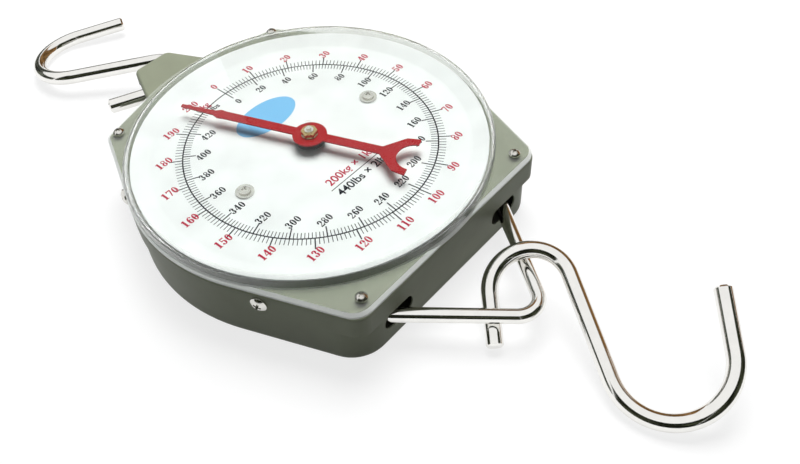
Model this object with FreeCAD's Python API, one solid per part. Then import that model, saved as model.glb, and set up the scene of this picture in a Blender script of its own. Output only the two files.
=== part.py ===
import FreeCAD, Part
import math
import os

Vector = FreeCAD.Vector

# A mechanical dial hanging scale. Millimetres and degrees.
# The origin is on the dial's axis in the plane of the rear face. +Z points out of the dial,
# +Y points to the upper hook, and the load pulls along -Y.

# ---- Casing, seen from the front
# Each wall is a line, given by the way it faces and its distance from the dial's axis.
case_radius = 101.8
flat_bottom_cut = 1.4
bottom_reach = case_radius - flat_bottom_cut
lower_side_angle = -20.5
upper_side_angle = 25.8
shoulder_angle = 74.5
shoulder_rise = 9.7
shoulder_reach = case_radius + shoulder_rise
neck_side_angle = 24.5
neck_end_reach = 143.6
neck_end_half_width = 12.7
bottom_corner_radius = 9.0
ear_corner_radius = 8.0
neck_foot_radius = 6.0
neck_corner_radius = 5.0
rear_corner_radius = 22.0
cover_corner_radius = 12.0

# ---- Casing, front to back
sheet = 0.8
face_height = 38.9
face_edge_radius = 2.0
skirt_depth = 14.4
skirt_foot = face_height - skirt_depth
neck_drop = 5.9
neck_height = face_height - neck_drop
neck_overlap = 11.5
neck_root = shoulder_reach - neck_overlap
shell_gap = 0.3
rear_shell_drop = 1.5
rear_shell_top = face_height - rear_shell_drop
rear_edge_radius = 4.0
window_radius = 62.0
screw_clearance = 0.6
neck_slot_length = 29.6
neck_slot_end = 4.5
neck_slot_low = 14.6
neck_slot_drop = 2.6
neck_slot_high = neck_height - neck_slot_drop
neck_slot_left = 7.0

# ---- Dial and cover
cover_inset = 0.8
cover_radius = case_radius - cover_inset
cover_wall = 2.0
cover_flange = 2.6
cover_side_height = 11.1
cover_shoulder = face_height + cover_side_height
cover_dome_height = 7.3
cover_top = cover_shoulder + cover_dome_height
cover_edge_radius = 4.0
cover_bevel = 1.6
gate_mark_diameter = 3.0
gate_mark_height = 0.3
dial_rise = 2.6
dial_face_height = face_height + dial_rise
dial_thickness = 0.8
dial_gap = 1.5
dial_radius = cover_radius - cover_wall - dial_gap
dial_rim_width = 9.5
dial_flat_radius = dial_radius - dial_rim_width
dial_lip_height = 3.0
dial_bend_radius = 6.0
dial_centre_hole = 9.0
dial_screw_reach = 48.5
dial_screw_rise = 1.0

# ---- Movement: positions of the planes that carry it
frame_rear = 6.0
frame_drop = 8.9
frame_front = face_height - frame_drop
frame_plate = 3.0
strap = 1.6
bridge_gap = 1.5
bridge_rear = frame_front + bridge_gap
bridge_plate = 2.0

# ---- Movement: springs
spring_x = 38.0
spring_wire = 4.5
spring_mean_diameter = 21.0
spring_turns = 16
spring_pitch = 4.4
spring_end = 2.0
hook_wire = 4.2
spring_pin_diameter = 8.0
upper_pin_y = 70.0
lower_pin_y = -38.0
pin_clearance = 0.1
pin_head_thickness = 1.4
pin_head_step = 3.0

# ---- Movement: main frame and yoke
frame_top = 83.0
frame_bar_foot = 58.0
frame_half_width = 52.0
stem_half_width = 24.0
stem_foot = -28.0
yoke_top = -30.0
yoke_foot = -58.0
yoke_half_width = 60.0
yoke_flange_half_width = 43.5
leg_clearance = 0.6
leg_slot_reach = 1.5

# ---- Movement: rack and pinion
tooth_module = 0.6
pinion_teeth = 20
pressure_angle = 20.0
tooth_backlash = 0.12
tooth_face = 8.0
pinion_rear = 13.0
rack_thickness = 7.0
rack_width = 6.0
rack_top_teeth = 25
rack_bottom_teeth = 4
rack_eye_radius = 5.0
rack_eye_rise = 4.0
rack_pin_diameter = 5.0
hub_diameter = 9.0
guide_half_height = 7.0
guide_screw_y = 4.0
guide_screw_diameter = 3.0
guide_head_diameter = 5.5

# ---- Movement: spindle, bushes, pillars
spindle_diameter = 6.0
journal_diameter = 4.0
journal_rear = 4.8
spindle_thread_diameter = 5.0
spindle_thread_length = 4.1
spindle_tip_diameter = 2.8
spindle_tip_length = 1.4
running_fit = 0.05
end_float = 0.1
bush_flange = 1.3
rear_bush_diameter = 8.0
rear_bush_flange_diameter = 12.0
front_bush_diameter = 10.0
front_bush_flange_diameter = 14.0
pillar_diameter = 7.0
pillar_x = 20.0
pillar_y = 24.0
pillar_thread = 6.0
bridge_half_width = 25.5
bridge_half_height = 30.0
bridge_wing = 56.0
bridge_wing_half_height = 7.5
post_diameter = 8.0
stud_boss_diameter = 10.0
stud_diameter = 4.0
stud_end = 4.0
stud_x = 20.0
stud_ys = (50.0, -12.0)

# ---- Pointer
pointer_turn = 20.0
pointer_rise = 6.0
pointer_rear = dial_face_height + pointer_rise
spindle_thread_front = pointer_rear + spindle_thread_length
spindle_front = spindle_thread_front + spindle_tip_length
pointer_sheet = 0.8
pointer_hub_diameter = 19.0
pointer_bar = 5.7
needle_reach = 79.5
needle_barb = 55.5
needle_barb_width = 6.6
needle_width = 3.5
needle_tip_width = 2.0
tail_flare = 41.5
tail_corner = 52.0
tail_corner_width = 25.6
tail_reach = 59.6
tail_width = 28.4
notch_centre = 60.2
notch_radius = 9.6
boss_diameter = 17.5
boss_height = 3.0
boss_foot_diameter = 9.0
boss_foot_gap = 1.0
pointer_washer_diameter = 9.0
pointer_washer_thickness = 0.4
pointer_nut_turn = 13.7

# ---- Hanger
hanger_pin_inset = 10.2
hanger_pin_y = neck_end_reach - hanger_pin_inset
hanger_pin_diameter = 6.4
hanger_pin_head_step = 2.4
hanger_half_width = 9.0
hanger_end_gap = 0.4
hanger_foot_rise = 1.0
hanger_foot_radius = 3.0
hanger_bolt_diameter = 6.0
hanger_bolt_ys = (64.0, 75.0)
hanger_bolt_head = 2.4
hanger_bolt_end = 0.6
hanger_spacer_wall = 2.0

# ---- Hooks and bail
hook_bar = 9.1
hook_small_radius = 20.7
hook_big_radius = 28.6
hook_shank = 55.1
hook_small_end = 27.1
hook_big_end = 32.0
hook_small_turn = 167.3
hook_big_turn = 166.5
hook_end_chamfer = 1.0
upper_hook_reach = 45.6
upper_hook_centre = (-8.7, hanger_pin_y + upper_hook_reach, 14.6)
upper_hook_turns = (-133.8, 6.5, 173.9)
lower_hook_centre = (7.2, -176.6, 17.3)
lower_hook_turns = (-33.9, 18.2, -19.6)
bail_wire = 7.8
bail_height = 17.2
bail_shift = -1.0
bail_tip_y = -150.2
bail_tip_radius = 11.4
bail_half_angle = 37.6
bail_bend_radius = 8.0
bail_leg_spread = 48.0
bail_leg_end = 0.4
bail_slot_x = 44.0
bail_slot_length = 21.0
bail_slot_height = 12.0
bail_washer_diameter = 14.0
bail_washer_thickness = 1.6

# ---- Screws and nuts
corner_screw_diameter = 3.0
corner_screw_length = 9.0
corner_head_diameter = 6.4
corner_head_height = 2.8
ear_screw_insets = (7.2, 5.7)
low_screw_insets = (11.7, 8.0)
side_screw_diameter = 4.0
side_screw_length = 7.5
side_head_diameter = 8.8
side_head_height = 2.8
side_screw_drop = 6.9
side_screw_height = face_height - side_screw_drop
side_screw_step = 16.0
dial_screw_diameter = 4.0
dial_screw_length = 6.0
dial_head_diameter = 6.6
dial_head_height = 2.1
dial_washer_diameter = 10.0
dial_washer_thickness = 1.0
bridge_screw_length = 7.0
bridge_head_diameter = 7.0
bridge_head_height = 2.2
corner_nut_flats = 5.5
corner_nut_thickness = 2.4
frame_nut_flats = 7.0
frame_nut_thickness = 3.2
side_nut_flats = 8.0
side_nut_thickness = 3.0
pointer_nut_flats = 8.0
pointer_nut_thickness = 2.3
hanger_nut_flats = 10.0
hanger_nut_thickness = 3.4
bail_nut_flats = 13.0
bail_nut_thickness = 6.5


# ---- General shapes ------------------------------------------------------------------------------

def unit(angle):
    """The direction at an angle from +X in the XY plane."""
    return Vector(math.cos(math.radians(angle)), math.sin(math.radians(angle)), 0)


def meet(line_a, line_b):
    """The point where two lines cross; a line is the way it faces and its distance from the origin."""
    (angle_a, reach_a), (angle_b, reach_b) = line_a, line_b
    a = unit(angle_a)
    b = unit(angle_b)
    scale = a.x * b.y - a.y * b.x
    return Vector((reach_a * b.y - reach_b * a.y) / scale, (a.x * reach_b - b.x * reach_a) / scale, 0)


def rounded_face(corners):
    """A face in the XY plane from (point, radius) corners; a radius of 0 leaves the corner sharp."""
    ends = []
    edges = []
    count = len(corners)
    for i, (corner, radius) in enumerate(corners):
        before = (corners[i - 1][0] - corner).normalize()
        after = (corners[(i + 1) % count][0] - corner).normalize()
        if radius <= 0:
            ends.append((corner, corner, None))
            continue
        half = before.getAngle(after) / 2
        run = radius / math.tan(half)
        middle = corner + (before + after).normalize() * (radius / math.sin(half) - radius)
        ends.append((corner + before * run, corner + after * run, middle))
    for i, (start, end, middle) in enumerate(ends):
        if middle is not None:
            edges.append(Part.Arc(start, middle, end).toShape())
        following = ends[(i + 1) % count][0]
        if (following - end).Length > 1e-4:
            edges.append(Part.LineSegment(end, following).toShape())
    return Part.Face(Part.Wire(edges))


def prism(face, bottom, top):
    """A face of the XY plane raised to a solid between two heights."""
    moved = face.copy()
    moved.translate(Vector(0, 0, bottom))
    return moved.extrude(Vector(0, 0, top - bottom))


def slab(x_span, y_span, z_span):
    """A rectangular block from its three spans."""
    size = [high - low for low, high in (x_span, y_span, z_span)]
    return Part.makeBox(*size, Vector(x_span[0], y_span[0], z_span[0]))


def rod(diameter, foot, axis, length):
    """A round bar from a foot point along an axis."""
    return Part.makeCylinder(diameter / 2, length, Vector(*foot), Vector(*axis))


def upright(diameter, x, y, bottom, top):
    """A round bar along Z."""
    return rod(diameter, (x, y, bottom), (0, 0, 1), top - bottom)


def joined(shapes):
    """Shapes that touch, made into one solid."""
    first, *others = shapes
    return first.fuse(others).removeSplitter() if others else first


def bent_rod(start, heading, steps, diameter):
    """A round bar bent in the XY plane. A step is a straight length or a (radius, turn) bend."""
    here = Vector(*start)
    angle = heading
    pieces = []
    for step in steps:
        ahead = unit(angle)
        disc = Part.Face(Part.Wire(Part.Circle(here, ahead, diameter / 2).toShape()))
        if isinstance(step, tuple):
            radius, turn = step
            side = math.copysign(1, turn)
            centre = here + unit(angle + 90) * radius * side
            pieces.append(disc.revolve(centre, Vector(0, 0, side), abs(turn)))
            angle += turn
            here = centre - unit(angle + 90) * radius * side
        else:
            pieces.append(disc.extrude(ahead * step))
            here = here + ahead * step
    return joined(pieces)


def hex_prism(across_flats, bottom, top, turn=0.0):
    """A hexagonal bar along Z on the Z axis."""
    corner = across_flats / math.sqrt(3)
    points = [unit(turn + 60 * i) * corner for i in range(7)]
    return prism(Part.Face(Part.makePolygon(points)), bottom, top)


def nut(across_flats, hole, thickness):
    """A hexagon nut that sits on the XY plane, with its front corners turned off."""
    blank = hex_prism(across_flats, 0, thickness)
    front_radius = across_flats * 0.51
    cone = Part.makeCone(front_radius + thickness, front_radius, thickness)
    return blank.common(cone).cut(upright(hole, 0, 0, -1, thickness + 1))


def phillips_recess(head_diameter, top):
    """The cross-shaped recess of a screw head, which narrows as it goes down."""
    reach = head_diameter * 0.27
    wing = head_diameter * 0.075
    depth = head_diameter * 0.2
    cross = slab((-reach, reach), (-wing, wing), (top - depth, top + 1))
    cross = cross.fuse(slab((-wing, wing), (-reach, reach), (top - depth, top + 1)))
    taper = Part.makeCone(reach * 0.45, reach * 1.05, depth, Vector(0, 0, top - depth))
    return cross.common(taper.fuse(upright(reach * 2.1, 0, 0, top, top + 1)))


def pan_screw(head_diameter, height, shank_diameter, length):
    """A Phillips pan head screw along Z, with the underside of its head on the XY plane."""
    rim = height * 0.4
    head = upright(head_diameter, 0, 0, 0, height)
    dome_radius = (head_diameter ** 2 / 4 + (height - rim) ** 2) / (2 * (height - rim))
    head = head.common(Part.makeSphere(dome_radius, Vector(0, 0, height - dome_radius)))
    head = head.cut(phillips_recess(head_diameter, height))
    return joined([head, upright(shank_diameter, 0, 0, -length, 0)])


def rounded_pan(plan, bottom, top, radius):
    """A plan raised to a solid whose top edges are rounded, as a pressed pan's are."""
    blank = prism(plan, bottom, top)
    rim = [edge for edge in blank.Edges if edge.BoundBox.ZMin > top - 0.01]
    return blank.makeFillet(radius, rim)


def placed(shape, position, z_axis=(0, 0, 1)):
    """A copy of a shape with its Z axis turned to a direction and its origin at a position."""
    copy = shape.copy()
    turn = FreeCAD.Rotation(Vector(0, 0, 1), Vector(*z_axis))
    copy.Placement = FreeCAD.Placement(Vector(*position), turn).multiply(copy.Placement)
    return copy


def mirrored_pair(points):
    """The points given on the right, with their mirror images on the left."""
    return [(side * x, y) for x, y in points for side in (1, -1)]


# ---- Casing --------------------------------------------------------------------------------------

def case_outline(inset, bottom_corner, with_neck):
    """The casing's outline, moved inwards by an inset."""
    lines = [
        (-90.0, bottom_reach - inset),
        (lower_side_angle, case_radius - inset),
        (upper_side_angle, case_radius - inset),
        (shoulder_angle, shoulder_reach - inset),
    ]
    radii = [bottom_corner - inset, case_radius - inset, ear_corner_radius - inset]
    if with_neck:
        neck_corner = Vector(neck_end_half_width, neck_end_reach, 0)
        neck_side_reach = neck_corner.dot(unit(neck_side_angle))
        lines += [(neck_side_angle, neck_side_reach - inset), (90.0, neck_end_reach - inset)]
        radii += [neck_foot_radius + inset, neck_corner_radius - inset]
    right = [(meet(lines[i], lines[i + 1]), radii[i]) for i in range(len(lines) - 1)]
    left = [(Vector(-point.x, point.y, 0), radius) for point, radius in reversed(right)]
    crown = []
    if not with_neck:
        crown = [(Vector(0, (shoulder_reach - inset) / unit(shoulder_angle).y, 0), shoulder_reach - inset)]
    return rounded_face(right + crown + left)


def neck_slots():
    """The openings in the neck that the upper hook's loop passes through and swings in."""
    foot = neck_end_reach - neck_slot_length
    heights = (neck_slot_low, neck_slot_high)
    left = slab((-case_radius, 0), (foot, neck_end_reach - neck_slot_end), heights)
    right = slab((-neck_slot_left, case_radius), (foot, neck_end_reach + case_radius), heights)
    return left.fuse(right)


def front_shell():
    """The front pan: the face with its window, the skirt, and the front of the neck."""
    with_neck = case_outline(0, bottom_corner_radius, True)
    neck_zone = slab((-case_radius, case_radius), (neck_root, 2 * neck_end_reach), (skirt_foot, neck_height))
    neck = rounded_pan(with_neck, skirt_foot, neck_height, face_edge_radius).common(neck_zone)
    face_plan = case_outline(0, bottom_corner_radius, False)
    blank = rounded_pan(face_plan, skirt_foot, face_height, face_edge_radius)
    blank = blank.fuse(neck).removeSplitter()
    inside = face_edge_radius - sheet
    hollow = rounded_pan(case_outline(sheet, bottom_corner_radius, False), 0, face_height - sheet, inside)
    neck_hollow = rounded_pan(case_outline(sheet, bottom_corner_radius, True), 0, neck_height - sheet, inside)
    window = upright(2 * window_radius, 0, 0, 0, 2 * face_height)
    shell = blank.cut([hollow, neck_hollow, neck_slots(), window])
    for x, y in corner_screw_places():
        shell = shell.cut(upright(corner_screw_diameter + screw_clearance, x, y, skirt_foot, 2 * face_height))
    return shell.cut(side_screw_holes())


def rear_shell():
    """The rear pan, which tucks into the front one, with the bail slots and four welded studs."""
    inset = sheet + shell_gap
    blank = prism(case_outline(inset, rear_corner_radius, True), 0, rear_shell_top)
    foot = [edge for edge in blank.Edges if edge.BoundBox.ZMax < 0.01]
    blank = blank.makeFillet(rear_edge_radius, foot)
    inner = prism(case_outline(inset + sheet, rear_corner_radius, True), sheet, 2 * rear_shell_top)
    floor_edges = [edge for edge in inner.Edges if edge.BoundBox.ZMax < sheet + 0.01]
    inner = inner.makeFillet(rear_edge_radius - sheet, floor_edges)
    shell = blank.cut(inner)
    neck_cut = slab((-case_radius, case_radius), (neck_root + rear_edge_radius, 2 * neck_end_reach),
                    (skirt_foot - shell_gap, 2 * rear_shell_top))
    shell = shell.cut([neck_cut, neck_slots(), bail_slot(bail_slot_x), bail_slot(-bail_slot_x)])
    shell = shell.cut(side_screw_holes())
    studs = []
    for x, y in stud_places():
        studs.append(upright(stud_boss_diameter, x, y, sheet, frame_rear))
        studs.append(upright(stud_diameter, x, y, frame_rear, frame_rear + frame_plate + stud_end))
    return joined([shell] + studs)


def bail_slot(x):
    """A slot with round ends through the bottom wall, for one leg of the bail."""
    reach = (bail_slot_length - bail_slot_height) / 2
    start = -bottom_reach - rear_corner_radius
    depth = 1.5 * rear_corner_radius
    low = bail_height - bail_slot_height / 2
    cutter = slab((x - reach, x + reach), (start, start + depth), (low, low + bail_slot_height))
    for side in (1, -1):
        cutter = cutter.fuse(rod(bail_slot_height, (x + side * reach, start, bail_height), (0, 1, 0), depth))
    return cutter


def side_screw_places():
    """The point on the skirt and the outward direction of each side screw."""
    places = []
    for angle, step in ((lower_side_angle, -side_screw_step), (upper_side_angle, side_screw_step)):
        outward = unit(angle)
        spot = outward * case_radius + unit(angle + 90) * step
        for side in (1, -1):
            foot = Vector(side * spot.x, spot.y, side_screw_height)
            places.append((foot, Vector(side * outward.x, outward.y, 0)))
    return places


def side_screw_holes():
    """The drills for the side screws, through both shells."""
    reach = 2 * side_screw_length
    size = side_screw_diameter + screw_clearance
    return [rod(size, foot - outward * reach, outward, 2 * reach) for foot, outward in side_screw_places()]


def stud_places():
    """The four welded studs that carry the main frame."""
    return [(side * stud_x, y) for y in stud_ys for side in (1, -1)]


def side_screws():
    """The four screws that join the shells."""
    screw = pan_screw(side_head_diameter, side_head_height, side_screw_diameter, side_screw_length)
    return Part.makeCompound([placed(screw, foot, outward) for foot, outward in side_screw_places()])


def side_nuts():
    """The nuts of the side screws, welded inside the rear shell."""
    depth = 2 * sheet + shell_gap + side_nut_thickness
    blank = nut(side_nut_flats, side_screw_diameter, side_nut_thickness)
    return Part.makeCompound([placed(blank, foot - outward * depth, outward)
                              for foot, outward in side_screw_places()])


# ---- Dial and cover ------------------------------------------------------------------------------

def dial_plate():
    """The dished disc that carries the scale."""
    inner = dial_flat_radius
    rise = dial_lip_height
    run = dial_radius - inner
    slope = math.degrees(math.atan2(rise, run))
    profile = [
        (Vector(0, dial_face_height, 0), 0),
        (Vector(inner, dial_face_height, 0), dial_bend_radius),
        (Vector(dial_radius, dial_face_height + rise, 0), 0),
        (Vector(dial_radius, dial_face_height + rise, 0) + unit(slope - 90) * dial_thickness, 0),
        (Vector(inner + dial_thickness * math.tan(math.radians(slope / 2)),
                dial_face_height - dial_thickness, 0), dial_bend_radius + dial_thickness),
        (Vector(0, dial_face_height - dial_thickness, 0), 0),
    ]
    disc = revolved(rounded_face(profile))
    disc = disc.cut(upright(dial_centre_hole, 0, 0, 0, cover_top))
    for x, y in dial_screw_places():
        disc = disc.cut(upright(dial_screw_diameter + screw_clearance, x, y, 0, cover_top))
    return disc


def revolved(face):
    """A face drawn as (radius, height), turned about the dial's axis."""
    standing = face.copy()
    standing.rotate(Vector(0, 0, 0), Vector(1, 0, 0), 90)
    return standing.revolve(Vector(0, 0, 0), Vector(0, 0, 1), 360)


def dial_cover():
    """The clear cap over the dial: a wall, a shallow dome, and the flange that the corner screws hold."""
    flange_top = face_height + cover_flange
    flange = prism(case_outline(0, cover_corner_radius, False), face_height, flange_top)
    rim = [edge for edge in flange.Edges if edge.BoundBox.ZMin > flange_top - 0.01]
    flange = flange.makeChamfer(cover_bevel, rim)
    cap = domed_drum(cover_radius, face_height, cover_shoulder, cover_top, cover_edge_radius)
    hollow = domed_drum(cover_radius - cover_wall, 0, cover_shoulder - cover_wall, cover_top - cover_wall,
                        cover_edge_radius - cover_wall)
    gate_mark = upright(gate_mark_diameter, 0, 0, cover_top - cover_wall / 2, cover_top + gate_mark_height)
    cover = joined([flange, cap]).cut(hollow).fuse(gate_mark)
    for x, y in corner_screw_places():
        cover = cover.cut(upright(corner_screw_diameter + screw_clearance, x, y, 0, 2 * flange_top))
    return cover


def domed_drum(radius, bottom, shoulder, top, edge_radius):
    """A drum with a shallow domed top and a rounded shoulder."""
    rise = top - shoulder
    sphere_radius = (radius ** 2 + rise ** 2) / (2 * rise)
    bend = math.asin(radius / sphere_radius) / 2
    middle = Vector(sphere_radius * math.sin(bend), top - sphere_radius + sphere_radius * math.cos(bend), 0)
    edges = [
        Part.LineSegment(Vector(0, bottom, 0), Vector(radius, bottom, 0)).toShape(),
        Part.LineSegment(Vector(radius, bottom, 0), Vector(radius, shoulder, 0)).toShape(),
        Part.Arc(Vector(radius, shoulder, 0), middle, Vector(0, top, 0)).toShape(),
        Part.LineSegment(Vector(0, top, 0), Vector(0, bottom, 0)).toShape(),
    ]
    drum = revolved(Part.Face(Part.Wire(edges)))
    crown = [edge for edge in drum.Edges if abs(edge.CenterOfMass.z - shoulder) < 0.01 and edge.isClosed()]
    return drum.makeFillet(edge_radius, crown)


def corner_screw_places():
    """The four corner screws, each set in from the two walls that meet at its corner."""
    side, top = ear_screw_insets
    ear = meet((upper_side_angle, case_radius - side), (shoulder_angle, shoulder_reach - top))
    side, bottom = low_screw_insets
    low = meet((lower_side_angle, case_radius - side), (-90.0, bottom_reach - bottom))
    return mirrored_pair([(ear.x, ear.y), (low.x, low.y)])


def corner_screws():
    """The four screws that hold the cover."""
    screw = pan_screw(corner_head_diameter, corner_head_height, corner_screw_diameter, corner_screw_length)
    top = face_height + cover_flange
    return Part.makeCompound([placed(screw, (x, y, top)) for x, y in corner_screw_places()])


def corner_nuts():
    """The nuts of the corner screws, under the face."""
    blank = nut(corner_nut_flats, corner_screw_diameter, corner_nut_thickness)
    bottom = face_height - sheet - corner_nut_thickness
    return Part.makeCompound([placed(blank, (x, y, bottom)) for x, y in corner_screw_places()])


def dial_screw_places():
    """The two screws of the dial plate."""
    return [(side * dial_screw_reach, dial_screw_rise) for side in (1, -1)]


def dial_washers():
    """The washers under the dial screws."""
    top = dial_face_height + dial_washer_thickness
    rings = []
    for x, y in dial_screw_places():
        ring = upright(dial_washer_diameter, x, y, dial_face_height, top)
        rings.append(ring.cut(upright(dial_screw_diameter, x, y, 0, cover_top)))
    return Part.makeCompound(rings)


def dial_screws():
    """The two screws that hold the dial plate on its posts."""
    top = dial_face_height + dial_washer_thickness
    screw = pan_screw(dial_head_diameter, dial_head_height, dial_screw_diameter, dial_screw_length)
    return Part.makeCompound([placed(screw, (x, y, top)) for x, y in dial_screw_places()])


def dial_posts():
    """The two posts on the bridge that the dial rests on, drilled for its screws."""
    posts = []
    for x, y in dial_screw_places():
        post = upright(post_diameter, x, y, bridge_rear + bridge_plate, dial_face_height - dial_thickness)
        posts.append(post.cut(upright(dial_screw_diameter, x, y, 0, cover_top)))
    return Part.makeCompound(posts)


# ---- Frame, springs and yoke ---------------------------------------------------------------------

def main_frame():
    """The channel that holds the springs' upper ends, with a stem that carries the movement."""
    back = slab((-frame_half_width, frame_half_width), (frame_bar_foot, frame_top),
                (frame_rear, frame_rear + frame_plate))
    stem = slab((-stem_half_width, stem_half_width), (stem_foot, frame_bar_foot),
                (frame_rear, frame_rear + frame_plate))
    web = slab((-frame_half_width, frame_half_width), (frame_top - frame_plate, frame_top),
               (frame_rear, frame_front))
    front = slab((-frame_half_width, frame_half_width), (frame_bar_foot, frame_top),
                 (frame_front - frame_plate, frame_front))
    frame = joined([back, stem, web, front])
    holes = [upright(spring_pin_diameter, side * spring_x, upper_pin_y, 0, face_height) for side in (1, -1)]
    holes += [upright(hanger_bolt_diameter, 0, y, 0, face_height) for y in hanger_bolt_ys]
    holes += [upright(stud_diameter, x, y, 0, face_height) for x, y in stud_places()]
    holes += [upright(rear_bush_diameter, 0, 0, 0, frame_front)]
    return frame.cut(holes)


def spring_pins(y):
    """The two headed pins that hold one end of each spring in a channel."""
    return Part.makeCompound([headed_pin(spring_pin_diameter, side * spring_x, y) for side in (1, -1)])


def headed_pin(diameter, x, y):
    """A pin across a channel, with a head outside each flange."""
    head = pin_head_thickness
    shank = upright(diameter, x, y, frame_rear - head, frame_front + head)
    heads = [upright(diameter + pin_head_step, x, y, z, z + head) for z in (frame_rear - head, frame_front)]
    return joined([heads[0], shank, heads[1]])


def spring(x):
    """An extension spring: a close-wound body with a half-loop hook at each end."""
    mean = spring_mean_diameter / 2
    wire = spring_wire / 2
    valley = math.sqrt(wire ** 2 - (spring_pitch / 2) ** 2)
    body_length = spring_turns * spring_pitch
    top_loop = upper_pin_y + spring_pin_diameter / 2 + pin_clearance - (mean - hook_wire / 2)
    bottom_loop = lower_pin_y - spring_pin_diameter / 2 - pin_clearance + (mean - hook_wire / 2)
    foot = (top_loop + bottom_loop - body_length) / 2
    edges = []
    for i in range(spring_turns):
        low = foot + i * spring_pitch
        crest = low + spring_pitch / 2
        high = low + spring_pitch
        edges.append(Part.Arc(Vector(mean + valley, low, 0), Vector(mean + wire, crest, 0),
                              Vector(mean + valley, high, 0)).toShape())
        edges.append(Part.Arc(Vector(mean - valley, low, 0), Vector(mean - wire, crest, 0),
                              Vector(mean - valley, high, 0)).toShape())
    for y in (foot, foot + body_length):
        edges.append(Part.LineSegment(Vector(mean - valley, y, 0), Vector(mean + valley, y, 0)).toShape())
    profile = Part.Face(Part.Wire(Part.__sortEdges__(edges)))
    coils = profile.revolve(Vector(0, 0, 0), Vector(0, 1, 0), 360)
    pieces = [coils]
    for end, loop, heading in ((foot + body_length, top_loop, 90), (foot, bottom_loop, -90)):
        side = 1 if heading > 0 else -1
        ring = Part.makeCylinder(mean + wire, spring_end, Vector(0, end, 0), Vector(0, side, 0))
        ring = ring.cut(Part.makeCylinder(mean - wire, spring_end, Vector(0, end, 0), Vector(0, side, 0)))
        pieces.append(ring)
        leg = abs(loop - end) - spring_end / 2
        steps = [leg, (mean, side * 180.0), leg / 3]
        pieces.append(bent_rod((mean, end + side * spring_end / 2, 0), heading, steps, hook_wire))
    whole = joined(pieces)
    whole.translate(Vector(x, 0, (frame_rear + frame_front) / 2))
    return whole


def yoke():
    """The draw bar: a channel that the springs hold up and the bail hangs from."""
    web = slab((-yoke_half_width, yoke_half_width), (yoke_foot, yoke_foot + frame_plate),
               (frame_rear, frame_front))
    pieces = [web]
    for z in (frame_rear, frame_front - frame_plate):
        pieces.append(slab((-yoke_flange_half_width, yoke_flange_half_width), (yoke_foot, yoke_top),
                           (z, z + frame_plate)))
    bar = joined(pieces)
    cutters = [upright(spring_pin_diameter, side * spring_x, lower_pin_y, 0, face_height) for side in (1, -1)]
    cutters.append(upright(rack_pin_diameter, rack_centre_x(), rack_pin_y(), 0, face_height))
    eye_slot = rack_eye_radius + leg_clearance
    through = (yoke_foot - frame_plate, yoke_foot + 2 * frame_plate)
    cutters.append(slab((rack_centre_x() - eye_slot, rack_centre_x() + eye_slot), through,
                        (pinion_rear, pinion_rear + tooth_face)))
    width = bail_wire + leg_clearance
    for side in (1, -1):
        x = side * bail_leg_spread
        cutters.append(slab((x - leg_slot_reach, x + leg_slot_reach), through,
                            (bail_height - width / 2, bail_height + width / 2)))
        for end in (1, -1):
            foot = (x + end * leg_slot_reach, through[0], bail_height)
            cutters.append(rod(width, foot, (0, 1, 0), through[1] - through[0]))
    return bar.cut(cutters)


# ---- Rack and pinion -----------------------------------------------------------------------------

def rack_centre_x():
    """The middle of the rack's body across its width."""
    return pinion_teeth * tooth_module / 2 + 1.25 * tooth_module + rack_width / 2


def rack_pin_y():
    """The pin that hangs the rack in the yoke."""
    return yoke_foot + frame_plate + rack_eye_radius + rack_eye_rise


def pinion():
    """The pinion with its two hubs; a tooth gap faces +X, where the rack's tooth sits at rest."""
    pitch_radius = pinion_teeth * tooth_module / 2
    base_radius = pitch_radius * math.cos(math.radians(pressure_angle))
    tip_radius = pitch_radius + tooth_module
    root_radius = pitch_radius - 1.25 * tooth_module
    lean = math.tan(math.radians(pressure_angle)) - math.radians(pressure_angle)
    half_tooth = math.pi / 2 / pinion_teeth - tooth_backlash / 2 / pitch_radius

    def flank(side, middle):
        points = []
        for i in range(6):
            radius = base_radius + (tip_radius - base_radius) * i / 5
            roll = math.sqrt((radius / base_radius) ** 2 - 1)
            spread = half_tooth + lean - (roll - math.atan(roll))
            points.append(unit(math.degrees(middle + side * spread)) * radius)
        return points

    edges = []
    for tooth in range(pinion_teeth):
        middle = 2 * math.pi * (tooth + 0.5) / pinion_teeth
        rising = flank(-1, middle)
        falling = list(reversed(flank(1, middle)))
        following = flank(-1, middle + 2 * math.pi / pinion_teeth)
        root_start = Vector(rising[0]).normalize() * root_radius
        root_end = Vector(falling[-1]).normalize() * root_radius
        next_root = Vector(following[0]).normalize() * root_radius
        edges.append(Part.LineSegment(root_start, rising[0]).toShape())
        curve = Part.BSplineCurve()
        curve.interpolate(rising)
        edges.append(curve.toShape())
        edges.append(Part.Arc(rising[-1], unit(math.degrees(middle)) * tip_radius, falling[0]).toShape())
        curve = Part.BSplineCurve()
        curve.interpolate(falling)
        edges.append(curve.toShape())
        edges.append(Part.LineSegment(falling[-1], root_end).toShape())
        gap = middle + math.pi / pinion_teeth
        edges.append(Part.Arc(root_end, unit(math.degrees(gap)) * root_radius, next_root).toShape())
    gear = prism(Part.Face(Part.Wire(Part.__sortEdges__(edges))), pinion_rear, pinion_rear + tooth_face)
    rear_hub = upright(hub_diameter, 0, 0, hub_rear(), pinion_rear)
    front_hub = upright(hub_diameter, 0, 0, pinion_rear + tooth_face, hub_front())
    whole = joined([gear, rear_hub, front_hub])
    return whole.cut(upright(spindle_diameter, 0, 0, 0, face_height))


def hub_rear():
    """The rear end of the pinion's hub, which runs against the rear bush."""
    return frame_rear + frame_plate + bush_flange + end_float


def hub_front():
    """The front end of the pinion's hub, which runs against the front bush."""
    return bridge_rear - bush_flange - end_float


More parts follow.
